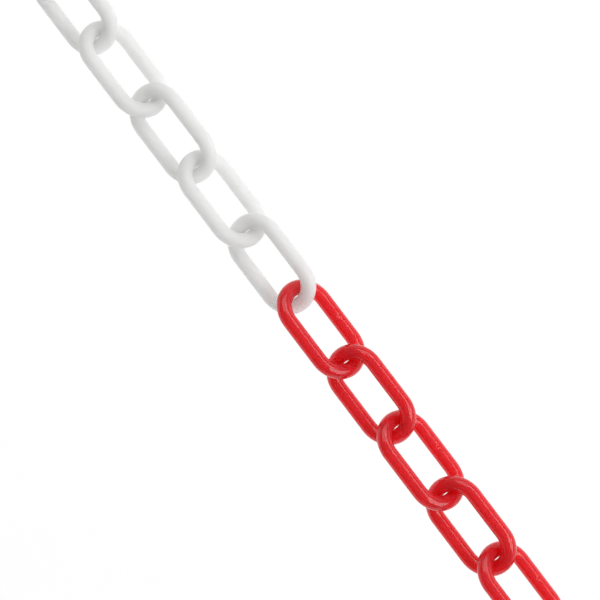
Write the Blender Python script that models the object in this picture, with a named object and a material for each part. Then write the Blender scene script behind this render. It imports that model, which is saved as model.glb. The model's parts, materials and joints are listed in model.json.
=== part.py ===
"""A length of plastic barrier chain, lying straight on the ground.

Every link is one moulded ring of round section in the shape of a stadium: two straight legs and
two half-circle bends. Neighbouring links pass through each other. A chain that lies slack on the
ground can't lay its links flat, so they lean left and right in turn, each on its lower leg.

Frame: +X along the chain, +Z up, origin on the ground under the middle of the chain.
"""
import math

import bmesh
import bpy
from mathutils import Matrix

# Driving dimensions, in metres unless the name says otherwise.
WIRE_DIAMETER = 0.008
INNER_WIDTH = 0.018
INNER_LENGTH = 0.043
PLAY = 0.0004            # free travel along the chain at each joint
LEAN_DEG = 35.0          # lean of each link from the ground
BLOCK_LINKS = 6          # links of one colour in a row
BLOCKS = ("red", "white", "red", "white")

# Facets of the solid: the section is a polygon with its corners on the round wire.
SECTION_SIDES = 12
BEND_STEPS = 12
HALF_FACET = math.pi / SECTION_SIDES

# Sizes that follow from the driving dimensions.
WIRE_RADIUS = WIRE_DIAMETER / 2
BEND_RADIUS = (INNER_WIDTH + WIRE_DIAMETER) / 2          # to the middle of the section
HALF_STRAIGHT = (INNER_LENGTH - INNER_WIDTH) / 2
EYE_REACH = HALF_STRAIGHT + BEND_RADIUS                  # link centre to the end wire's middle
PITCH = INNER_LENGTH - PLAY
LEAN = math.radians(LEAN_DEG)
FACET_HEIGHT = WIRE_RADIUS * math.cos(HALF_FACET)        # a leg's middle above the ground
CENTRE_HEIGHT = FACET_HEIGHT + BEND_RADIUS * math.sin(LEAN)
ORIGIN_TO_CENTRE = PITCH - EYE_REACH                     # from the neighbour's end wire
LINK_COUNT = BLOCK_LINKS * len(BLOCKS)

FINISH = {
    "red": {"color": (0.665, 0.020, 0.028, 1.0), "roughness": 0.30},
    "white": {"color": (0.800, 0.800, 0.785, 1.0), "roughness": 0.38},
}


def clear_scene():
    """Remove whatever objects the open file holds."""
    for old in list(bpy.data.objects):
        bpy.data.objects.remove(old, do_unlink=True)


def plastic(name, color, roughness):
    """One moulded plastic, as a Principled BSDF."""
    material = bpy.data.materials.new(name)
    material.use_nodes = True
    shader = material.node_tree.nodes["Principled BSDF"]
    shader.inputs["Base Color"].default_value = color
    shader.inputs["Roughness"].default_value = roughness
    shader.inputs["Metallic"].default_value = 0.0
    material.diffuse_color = color
    return material


def section_matrix():
    """Place the section polygon on the +X end of the leg at -Y, with one facet for the ground.

    The link's own axes are X along it, Y across it and Z out of its plane. When the link leans,
    its -Z turns away from the ground by LEAN, so the polygon is turned back by as much.
    """
    across = Matrix.Rotation(math.radians(90), 4, "Y")
    turn = Matrix.Rotation(HALF_FACET - LEAN, 4, "X")
    place = Matrix.Translation((HALF_STRAIGHT, -BEND_RADIUS, 0.0))
    return place @ turn @ across


def only(geometry, kind):
    """The elements of one kind in a mixed list of bmesh geometry."""
    return [item for item in geometry if isinstance(item, kind)]


def spin_bend(bm, ring, centre_x):
    """Sweep the ring of edges through a half circle, and return the ring it ends on."""
    result = bmesh.ops.spin(
        bm,
        geom=ring,
        cent=(centre_x, 0.0, 0.0),
        axis=(0.0, 0.0, 1.0),
        angle=math.pi,
        steps=BEND_STEPS,
    )
    return only(result["geom_last"], bmesh.types.BMEdge)


def extrude_leg(bm, ring, length_x):
    """Carry the ring of edges straight along X, and return the ring it ends on."""
    result = bmesh.ops.extrude_edge_only(bm, edges=ring)
    moved = only(result["geom"], bmesh.types.BMVert)
    bmesh.ops.translate(bm, verts=moved, vec=(length_x, 0.0, 0.0))
    return only(result["geom"], bmesh.types.BMEdge)


def link_mesh():
    """One link, with its origin where the wire of the link before it passes through its eye."""
    bm = bmesh.new()
    bmesh.ops.create_circle(
        bm,
        cap_ends=False,
        segments=SECTION_SIDES,
        radius=WIRE_RADIUS,
        matrix=section_matrix(),
    )
    first = list(bm.edges)
    ring = spin_bend(bm, first, HALF_STRAIGHT)
    ring = [edge for edge in extrude_leg(bm, ring, -2 * HALF_STRAIGHT) if len(edge.link_faces) == 1]
    ring = spin_bend(bm, ring, -HALF_STRAIGHT)
    bmesh.ops.bridge_loops(bm, edges=first + ring)
    bmesh.ops.recalc_face_normals(bm, faces=bm.faces)
    bmesh.ops.translate(bm, verts=bm.verts, vec=(ORIGIN_TO_CENTRE, 0.0, 0.0))
    mesh = bpy.data.meshes.new("link")
    bm.to_mesh(mesh)
    bm.free()
    mesh.shade_smooth()
    return mesh


def add_link(number, color, mesh, material):
    """Lay link number on the ground: even numbers lean to one side, odd ones to the other."""
    link = bpy.data.objects.new(f"{color}_link_{number:02d}", mesh)
    bpy.context.scene.collection.objects.link(link)
    centre_x = (number - (LINK_COUNT + 1) / 2) * PITCH
    side = 1 if number % 2 == 0 else -1
    link.location = (centre_x - ORIGIN_TO_CENTRE, 0.0, CENTRE_HEIGHT)
    link.rotation_euler = (side * LEAN, 0.0, 0.0)
    link.material_slots[0].link = "OBJECT"
    link.material_slots[0].material = material


def build_chain():
    """Make the whole chain, block of colour by block of colour."""
    materials = {name: plastic(f"{name}_plastic", **look) for name, look in FINISH.items()}
    mesh = link_mesh()
    mesh.materials.append(materials[BLOCKS[0]])
    for number in range(1, LINK_COUNT + 1):
        color = BLOCKS[(number - 1) // BLOCK_LINKS]
        add_link(number, color, mesh, materials[color])


clear_scene()
build_chain()
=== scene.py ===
"""The looks of a straight length of plastic barrier chain over a pale floor.

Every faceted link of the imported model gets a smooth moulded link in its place, with the parting
line, the gate mark, the faint sink marks and the rubbed eyes of a real moulding, in one of two
procedural plastics. The floor lies half a chain's length below, so that no link which swings down
is hidden by it. All lengths are in metres.
"""
import json
import math

import bpy
import numpy as np
from mathutils import Matrix, Vector, noise


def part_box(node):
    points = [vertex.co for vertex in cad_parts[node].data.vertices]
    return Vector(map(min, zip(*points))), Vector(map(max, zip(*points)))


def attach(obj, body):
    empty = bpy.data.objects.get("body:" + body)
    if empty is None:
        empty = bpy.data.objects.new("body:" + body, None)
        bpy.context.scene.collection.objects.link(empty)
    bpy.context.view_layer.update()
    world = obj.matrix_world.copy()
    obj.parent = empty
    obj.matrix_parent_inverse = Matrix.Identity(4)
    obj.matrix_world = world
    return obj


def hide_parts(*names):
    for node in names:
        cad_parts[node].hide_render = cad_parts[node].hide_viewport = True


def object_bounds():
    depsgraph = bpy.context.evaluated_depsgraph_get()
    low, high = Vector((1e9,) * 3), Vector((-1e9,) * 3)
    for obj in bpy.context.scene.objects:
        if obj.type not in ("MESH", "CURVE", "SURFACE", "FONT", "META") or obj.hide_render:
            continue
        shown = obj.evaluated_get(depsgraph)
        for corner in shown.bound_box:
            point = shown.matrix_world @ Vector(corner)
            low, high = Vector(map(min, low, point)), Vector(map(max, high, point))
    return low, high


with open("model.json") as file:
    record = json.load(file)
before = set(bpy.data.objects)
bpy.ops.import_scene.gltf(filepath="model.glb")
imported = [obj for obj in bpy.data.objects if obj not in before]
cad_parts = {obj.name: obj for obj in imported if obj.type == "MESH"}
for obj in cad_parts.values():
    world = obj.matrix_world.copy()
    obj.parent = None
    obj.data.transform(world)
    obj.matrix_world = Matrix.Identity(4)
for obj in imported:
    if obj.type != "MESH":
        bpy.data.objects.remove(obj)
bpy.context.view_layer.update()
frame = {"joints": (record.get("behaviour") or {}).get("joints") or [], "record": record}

# ---- The link, as the model has it ----
WIRE_RADIUS = 0.004
INNER_WIDTH = 0.018
INNER_LENGTH = 0.043
BEND_RADIUS = INNER_WIDTH / 2 + WIRE_RADIUS
HALF_STRAIGHT = (INNER_LENGTH - INNER_WIDTH) / 2
FIRST_JOINT = frame["joints"][0]
CENTRE_HEIGHT = FIRST_JOINT["pos_m"][2]
LEAN = math.atan2(abs(FIRST_JOINT["axis"][2]), abs(FIRST_JOINT["axis"][1]))

# ---- Fine surface of the moulding ----
BEND_STEPS = 56
LEG_STEPS = 26
SECTION_STEPS = 40
SMALLEST_STEP = 0.008              # radians between two corners of a section
PARTING_ON_LEG = math.radians(-45.0)
RIDGE_HEIGHT = 0.000008
RIDGE_REACH = 0.00022
GATE_RADIUS = 0.0010
GATE_HEIGHT = 0.00015
SINK_DEPTH = 0.000008
SINK_SIZE = 0.008

# ---- Gate mark, with its widths as shares of GATE_RADIUS ----
GATE_ANGLE = {1: math.radians(-8.0), -1: math.radians(120.0)}
GATE_STEPS = 20                    # stations along the leg over the mark
GATE_REACH = 1.5
GATE_CLEARANCE = 1.6               # no other station is this close
GATE_CORNERS = 9                   # corners round the wire over the mark
GATE_CORNER_REACH = 1.2
RING_PLACE = 0.75
RING_WIDTH = 0.22
DIMPLE_WIDTH = 0.4
DIMPLE_DEPTH = 0.35                # share of the ring's height

# ---- Plastics: the size of each pattern, its depth, and its share in colour or roughness ----
CLOUD_SIZE = 0.011
FLECK_SIZE = 0.0009
FLECK_SHARE = 0.10
SEAM_SHARE = 0.10
SCUFF_SIZE = 0.0012
SCUFF_SHARE = 0.30
SCUFF_ROUGHNESS = 0.16
POLISH_SIZE = 0.006
SMOOTHER = 0.02                    # how far the polish goes below the roughness
ROUGHER = 0.03                     # and how far above it
SKIN_SIZE = 0.0024
SKIN_DEPTH = 0.00002
SKIN_STRENGTH = 0.12
SCRATCH_SIZE = 0.0004
SCRATCH_DEPTH = 0.00005
SCRATCH_STRENGTH = 0.6
REFRACTION = 1.5

# ---- Picture ----
PICTURE_SPAN = 0.3113              # width that the camera sees, at the chain's height
CHAIN_SLOPE = math.radians(52.85)  # the chain runs down to the right at this angle
LOOK_AT = Vector((0.0026, 0.0004, CENTRE_HEIGHT))
CAMERA_DISTANCE = 1.25
TILT_ALONG = math.radians(2.3)
TILT_ACROSS = math.radians(2.0)
SENSOR_MM = 36.0

# ---- Light ----
LAMP_DISTANCE = 1.5
SOFTBOXES = (                      # azimuth, elevation (degrees), width, height, radiance
    ("right_softbox", 32.0, 41.0, 1.15, 1.00, 2.8),
    ("side_softbox", 90.0, 45.0, 1.20, 0.45, 2.3),
    ("left_softbox", 148.0, 47.0, 1.30, 0.95, 1.6),
)
ROOM_LIGHT = 0.23                  # radiance of the room above the chain
ROOM_SLANT = 0.10                  # how much more of it comes from the lit side
WALL_LIGHT = 0.92                  # radiance of the low walls
WALL_FULL = 0.08                   # sine of the elevation up to which they are full
WALL_TOP = 0.16                    # and at which they have faded into the room

# ---- Floor ----
FLOOR_HALF_WIDTH = 12.0
FLOOR_CLOUD_SIZE = 0.4
FLOOR_DARK = (0.19, 0.19, 0.19, 1.0)
FLOOR_PALE = (0.21, 0.21, 0.21, 1.0)
GLOW_NEAR = 0.88                   # radiance of the floor's own light under the chain
GLOW_FAR = 0.66
FADE_START = 0.7                   # distance from the origin at which the glow starts to fade
FADE_END = 2.0


# ---------------------------------------------------------------- shape of a link
def stations():
    """Points round the middle of the wire: (position, outward direction)."""
    found = []
    for end in (1, -1):
        eye = np.array((end * HALF_STRAIGHT, 0.0, 0.0))
        for angle in np.arange(BEND_STEPS) * math.pi / BEND_STEPS:
            outward = end * np.array((math.sin(angle), -math.cos(angle), 0.0))
            found.append((eye + BEND_RADIUS * outward, outward))
        outward = np.array((0.0, float(end), 0.0))
        places = np.linspace(end, -end, LEG_STEPS, endpoint=False) * HALF_STRAIGHT
        if end == 1:
            close = np.linspace(GATE_REACH, -GATE_REACH, GATE_STEPS) * GATE_RADIUS
            clear = places[np.abs(places) > GATE_CLEARANCE * GATE_RADIUS]
            places = np.concatenate((clear, close))
            places = np.sort(places)[::-1]
        for x in places:
            found.append((np.array((x, 0.0, 0.0)) + BEND_RADIUS * outward, outward))
    return found


def section_angles(side):
    """Angles round the wire from the parting line, closer together at the ridge and the gate."""
    even = np.arange(SECTION_STEPS) * 2 * math.pi / SECTION_STEPS
    near = RIDGE_REACH / WIRE_RADIUS * np.array((-1.0, -0.5, 0.5, 1.0))
    spread = np.linspace(-GATE_CORNER_REACH, GATE_CORNER_REACH, GATE_CORNERS)
    gate = GATE_ANGLE[side] - PARTING_ON_LEG + spread * GATE_RADIUS / WIRE_RADIUS
    both = np.concatenate((even, near, near + math.pi, gate)) % (2 * math.pi)
    both = np.sort(both)
    keep = np.append(np.diff(both) > SMALLEST_STEP, True)
    return both[keep]


def turn_from(angle, target):
    """How far angle is from target, between -pi and pi."""
    return (angle - target + math.pi) % (2 * math.pi) - math.pi


def link_surface(side, seed):
    """Vertices, rubbed and seam shares, and corners in a section, of a link about its centre."""
    points = []
    rubbed = []
    seams = []
    offsets = section_angles(side)
    up = np.array((0.0, 0.0, 1.0))
    for middle, outward in stations():
        parting = -math.atan(outward[1])
        end_share = outward[0] ** 2
        for offset in offsets:
            angle = parting + offset
            normal = math.cos(angle) * outward + math.sin(angle) * up
            from_line = min(abs(turn_from(offset, 0.0)), abs(turn_from(offset, math.pi)))
            from_line *= WIRE_RADIUS
            seam = max(0.0, 1.0 - from_line / RIDGE_REACH)
            place = Vector(middle + WIRE_RADIUS * normal) / SINK_SIZE + Vector((seed, 0.0, 0.0))
            sink = noise.noise(place)
            height = RIDGE_HEIGHT * seam + SINK_DEPTH * (sink - 0.5)
            height += gate_height(middle, outward, angle, side)
            points.append(middle + (WIRE_RADIUS + height) * normal)
            rubbed.append(end_share * max(0.0, -math.cos(angle)) ** 2)
            seams.append(seam)
    return np.array(points), rubbed, seams, len(offsets)


def gate_height(middle, outward, angle, side):
    """The torn-off gate in the middle of one leg: a low ring with a dimple in it."""
    if outward[1] < 0.999:
        return 0.0
    round_wire = turn_from(angle, GATE_ANGLE[side]) * WIRE_RADIUS
    away = math.hypot(middle[0], round_wire) / GATE_RADIUS
    if away > GATE_REACH:
        return 0.0
    ring = math.exp(-((away - RING_PLACE) / RING_WIDTH) ** 2)
    return GATE_HEIGHT * (ring - DIMPLE_DEPTH * math.exp(-(away / DIMPLE_WIDTH) ** 2))


def link_mesh(name, side, seed, place):
    """A closed mesh of quads, placed in the chain, with its wear kept as attributes."""
    points, rubbed, seams, ring = link_surface(side, seed)
    count = len(points) // ring
    faces = []
    for station in range(count):
        following = (station + 1) % count
        for step in range(ring):
            other = (step + 1) % ring
            faces.append((
                station * ring + step,
                following * ring + step,
                following * ring + other,
                station * ring + other,
            ))
    mesh = bpy.data.meshes.new(name)
    mesh.from_pydata([place @ Vector(point) for point in points], [], faces)
    for attribute, values in (("rubbed", rubbed), ("seam", seams)):
        layer = mesh.attributes.new(attribute, "FLOAT", "POINT")
        layer.data.foreach_set("value", np.array(values, dtype=np.float32))
    mesh.validate()
    mesh.shade_smooth()
    return mesh


# ---------------------------------------------------------------- plastics
class Nodes:
    """Short calls for building the node tree of a material or a world."""

    def __init__(self, owner, shader):
        owner.use_nodes = True
        self.tree = owner.node_tree
        self.shader = self.tree.nodes[shader]

    def add(self, kind, settings=None, **inputs):
        """A node of that kind, its properties from settings and its sockets from inputs."""
        node = self.tree.nodes.new(kind)
        for key, value in (settings or {}).items():
            setattr(node, key, value)
        for key, value in inputs.items():
            self.put(node.inputs[key.replace("_", " ")], value)
        return node

    def put(self, socket, value):
        """Link a node's first output, link a socket, or set a plain value."""
        if isinstance(value, bpy.types.Node):
            value = value.outputs[0]
        if isinstance(value, bpy.types.NodeSocket):
            self.tree.links.new(value, socket)
        else:
            socket.default_value = value

    def noise(self, coords, size, detail=2.0, roughness=0.5):
        """Fractal noise whose blotches are about size metres across."""
        node = self.add("ShaderNodeTexNoise", Vector=coords, Scale=1.0 / size)
        self.put(node.inputs["Detail"], detail)
        self.put(node.inputs["Roughness"], roughness)
        return node

    def span(self, value, low, high, to_low=0.0, to_high=1.0):
        """Map low..high of a value to to_low..to_high, smoothly."""
        node = self.add("ShaderNodeMapRange", {"interpolation_type": "SMOOTHSTEP"})
        for index, item in enumerate((value, low, high, to_low, to_high)):
            self.put(node.inputs[index], item)
        return node

    def blend(self, share, first, second):
        """A colour between first and second."""
        node = self.add("ShaderNodeMix", {"data_type": "RGBA"})
        self.put(node.inputs[0], share)
        self.put(node.inputs[6], first)
        self.put(node.inputs[7], second)
        return node.outputs[2]

    def maths(self, operation, first, second):
        """One Math node."""
        node = self.add("ShaderNodeMath", {"operation": operation})
        self.put(node.inputs[0], first)
        self.put(node.inputs[1], second)
        return node


def plastic(name, body, deep, scuffed, roughness, shine, reach):
    """Moulded plastic: cloudy pigment, a fine mould texture, and eyes rubbed by the next link."""
    material = bpy.data.materials.new(name)
    n = Nodes(material, "Principled BSDF")
    coords = n.add("ShaderNodeTexCoord").outputs["Object"]
    rubbed = n.add("ShaderNodeAttribute", {"attribute_name": "rubbed"}).outputs["Fac"]
    seam = n.add("ShaderNodeAttribute", {"attribute_name": "seam"}).outputs["Fac"]

    cloud = n.span(n.noise(coords, CLOUD_SIZE, 3.0), 0.35, 0.65)
    colour = n.blend(cloud, deep, body)
    fleck = n.span(n.noise(coords, FLECK_SIZE, 2.0), 0.60, 0.72, 0.0, FLECK_SHARE)
    colour = n.blend(fleck, colour, deep)
    marks = n.span(n.noise(coords, SCUFF_SIZE, 4.0, 0.7), 0.45, 0.62)
    scuff = n.maths("MULTIPLY", rubbed, marks)
    colour = n.blend(n.maths("MULTIPLY", scuff, SCUFF_SHARE), colour, scuffed)
    colour = n.blend(n.maths("MULTIPLY", seam, SEAM_SHARE), colour, deep)
    n.put(n.shader.inputs["Base Color"], colour)

    patches = n.noise(coords, POLISH_SIZE, 3.0)
    polish = n.span(patches, 0.30, 0.70, roughness - SMOOTHER, roughness + ROUGHER)
    worn = n.maths("MULTIPLY", scuff, SCUFF_ROUGHNESS)
    n.put(n.shader.inputs["Roughness"], n.maths("ADD", polish, worn))

    skin = n.noise(coords, SKIN_SIZE, 2.0, 0.5)
    bump = n.add("ShaderNodeBump", Strength=SKIN_STRENGTH, Distance=SKIN_DEPTH, Height=skin)
    scratching = n.maths("MULTIPLY", scuff, SCRATCH_STRENGTH)
    scratches = n.add("ShaderNodeBump", Strength=scratching, Distance=SCRATCH_DEPTH)
    n.put(scratches.inputs["Height"], n.noise(coords, SCRATCH_SIZE, 4.0, 0.75))
    n.put(scratches.inputs["Normal"], bump)
    n.put(n.shader.inputs["Normal"], scratches)

    n.put(n.shader.inputs["Subsurface Weight"], 1.0)
    n.put(n.shader.inputs["Subsurface Radius"], reach)
    n.put(n.shader.inputs["Subsurface Scale"], 1.0)
    n.put(n.shader.inputs["IOR"], REFRACTION)
    n.put(n.shader.inputs["Specular IOR Level"], shine)
    return material


def make_plastics():
    """The two plastics by the record's slot names."""
    return {
        "red_plastic": plastic(
            "red_polyethylene",
            body=(0.630, 0.0195, 0.0285, 1.0),
            deep=(0.610, 0.0175, 0.0260, 1.0),
            scuffed=(0.660, 0.140, 0.150, 1.0),
            roughness=0.12,
            shine=0.5,
            reach=(0.040, 0.0125, 0.011),
        ),
        "white_plastic": plastic(
            "white_polyethylene",
            body=(0.795, 0.791, 0.779, 1.0),
            deep=(0.785, 0.781, 0.769, 1.0),
            scuffed=(0.755, 0.749, 0.732, 1.0),
            roughness=0.33,
            shine=0.15,
            reach=(0.025, 0.025, 0.025),
        ),
    }


# ---------------------------------------------------------------- the chain
def cover_links():
    """Put a moulded link over every faceted one, on the same body."""
    plastics = make_plastics()
    slots = {part["node"]: part["material_slot"] for part in frame["record"]["subparts"]}
    for body, nodes in sorted(frame["record"]["behaviour"]["bodies"].items()):
        node = nodes[0]
        number = int(node.rsplit("_", 1)[1])
        side = 1 if number % 2 == 0 else -1
        low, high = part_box(node)
        centre = Vector(((low.x + high.x) / 2, 0.0, CENTRE_HEIGHT))
        place = Matrix.Translation(centre) @ Matrix.Rotation(side * LEAN, 4, "X")
        mesh = link_mesh(f"moulded_{node}", side, number * 3.7, place)
        mesh.materials.append(plastics[slots[node]])
        link = bpy.data.objects.new(f"moulded_{node}", mesh)
        bpy.context.scene.collection.objects.link(link)
        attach(link, body)
        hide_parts(node)


# ---------------------------------------------------------------- floor, light and camera
def add_floor():
    """A pale matt floor that glows, deep enough for half the chain to hang down."""
    low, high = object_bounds()
    level = low.z - (high.x - low.x) / 2
    paint = bpy.data.materials.new("floor_paint")
    n = Nodes(paint, "Principled BSDF")
    coords = n.add("ShaderNodeTexCoord").outputs["Object"]
    shade = n.span(n.noise(coords, FLOOR_CLOUD_SIZE, 2.0), 0.3, 0.7)
    colour = n.blend(shade, FLOOR_DARK, FLOOR_PALE)
    n.put(n.shader.inputs["Base Color"], colour)
    n.put(n.shader.inputs["Roughness"], 0.9)
    n.put(n.shader.inputs["Specular IOR Level"], 0.1)
    n.put(n.shader.inputs["Emission Color"], (1.0, 1.0, 1.0, 1.0))
    away = n.add("ShaderNodeVectorMath", {"operation": "LENGTH"}, Vector=coords).outputs["Value"]
    glow = n.span(away, FADE_START, FADE_END, GLOW_NEAR, GLOW_FAR)
    n.put(n.shader.inputs["Emission Strength"], glow)
    mesh = bpy.data.meshes.new("floor")
    half = FLOOR_HALF_WIDTH
    corners = [(x * half, y * half, level) for x, y in ((-1, -1), (1, -1), (1, 1), (-1, 1))]
    mesh.from_pydata(corners, [], [(0, 1, 2, 3)])
    mesh.materials.append(paint)
    floor = bpy.data.objects.new("floor", mesh)
    bpy.context.scene.collection.objects.link(floor)


def add_softbox(name, azimuth, elevation, width, height, radiance):
    """A rectangular lamp that faces the origin; azimuth from +X and elevation, in degrees."""
    around = math.radians(azimuth)
    above = math.radians(elevation)
    flat = math.cos(above)
    way = Vector((flat * math.cos(around), flat * math.sin(around), math.sin(above)))
    data = bpy.data.lights.new(name, "AREA")
    data.shape = "RECTANGLE"
    data.size = width
    data.size_y = height
    data.energy = radiance * math.pi * width * height
    lamp = bpy.data.objects.new(name, data)
    lamp.location = way * LAMP_DISTANCE
    lamp.rotation_mode = "QUATERNION"
    lamp.rotation_quaternion = (-way).to_track_quat("-Z", "Y")
    bpy.context.scene.collection.objects.link(lamp)


def add_lights():
    """Softboxes on the chain's +Y side, in a grey room with low white walls."""
    for softbox in SOFTBOXES:
        add_softbox(*softbox)
    world = bpy.data.worlds.new("grey_room")
    n = Nodes(world, "Background")
    coords = n.add("ShaderNodeTexCoord").outputs["Generated"]
    direction = n.add("ShaderNodeSeparateXYZ", Vector=coords)
    lit_side = n.maths("MULTIPLY", direction.outputs["Y"], ROOM_SLANT)
    ceiling = n.maths("ADD", lit_side, ROOM_LIGHT)
    n.put(n.shader.inputs["Color"], (1.0, 1.0, 1.0, 1.0))
    height = direction.outputs["Z"]
    strength = n.span(height, WALL_FULL, WALL_TOP, WALL_LIGHT, ceiling)
    n.put(n.shader.inputs["Strength"], strength)
    bpy.context.scene.world = world


def add_camera():
    """Look almost straight down, with the chain running down to the right."""
    data = bpy.data.cameras.new("camera")
    data.sensor_width = SENSOR_MM
    data.lens = SENSOR_MM * CAMERA_DISTANCE / PICTURE_SPAN
    camera = bpy.data.objects.new("camera", data)
    tilt = Matrix.Rotation(TILT_ALONG, 4, "Y") @ Matrix.Rotation(TILT_ACROSS, 4, "X")
    roll = Matrix.Rotation(CHAIN_SLOPE, 4, "Z")
    back = Matrix.Translation((0.0, 0.0, CAMERA_DISTANCE))
    camera.matrix_world = Matrix.Translation(LOOK_AT) @ tilt @ roll @ back
    bpy.context.scene.collection.objects.link(camera)
    bpy.context.scene.camera = camera
    bpy.context.scene.view_settings.view_transform = "Standard"


cover_links()
add_floor()
add_lights()
add_camera()
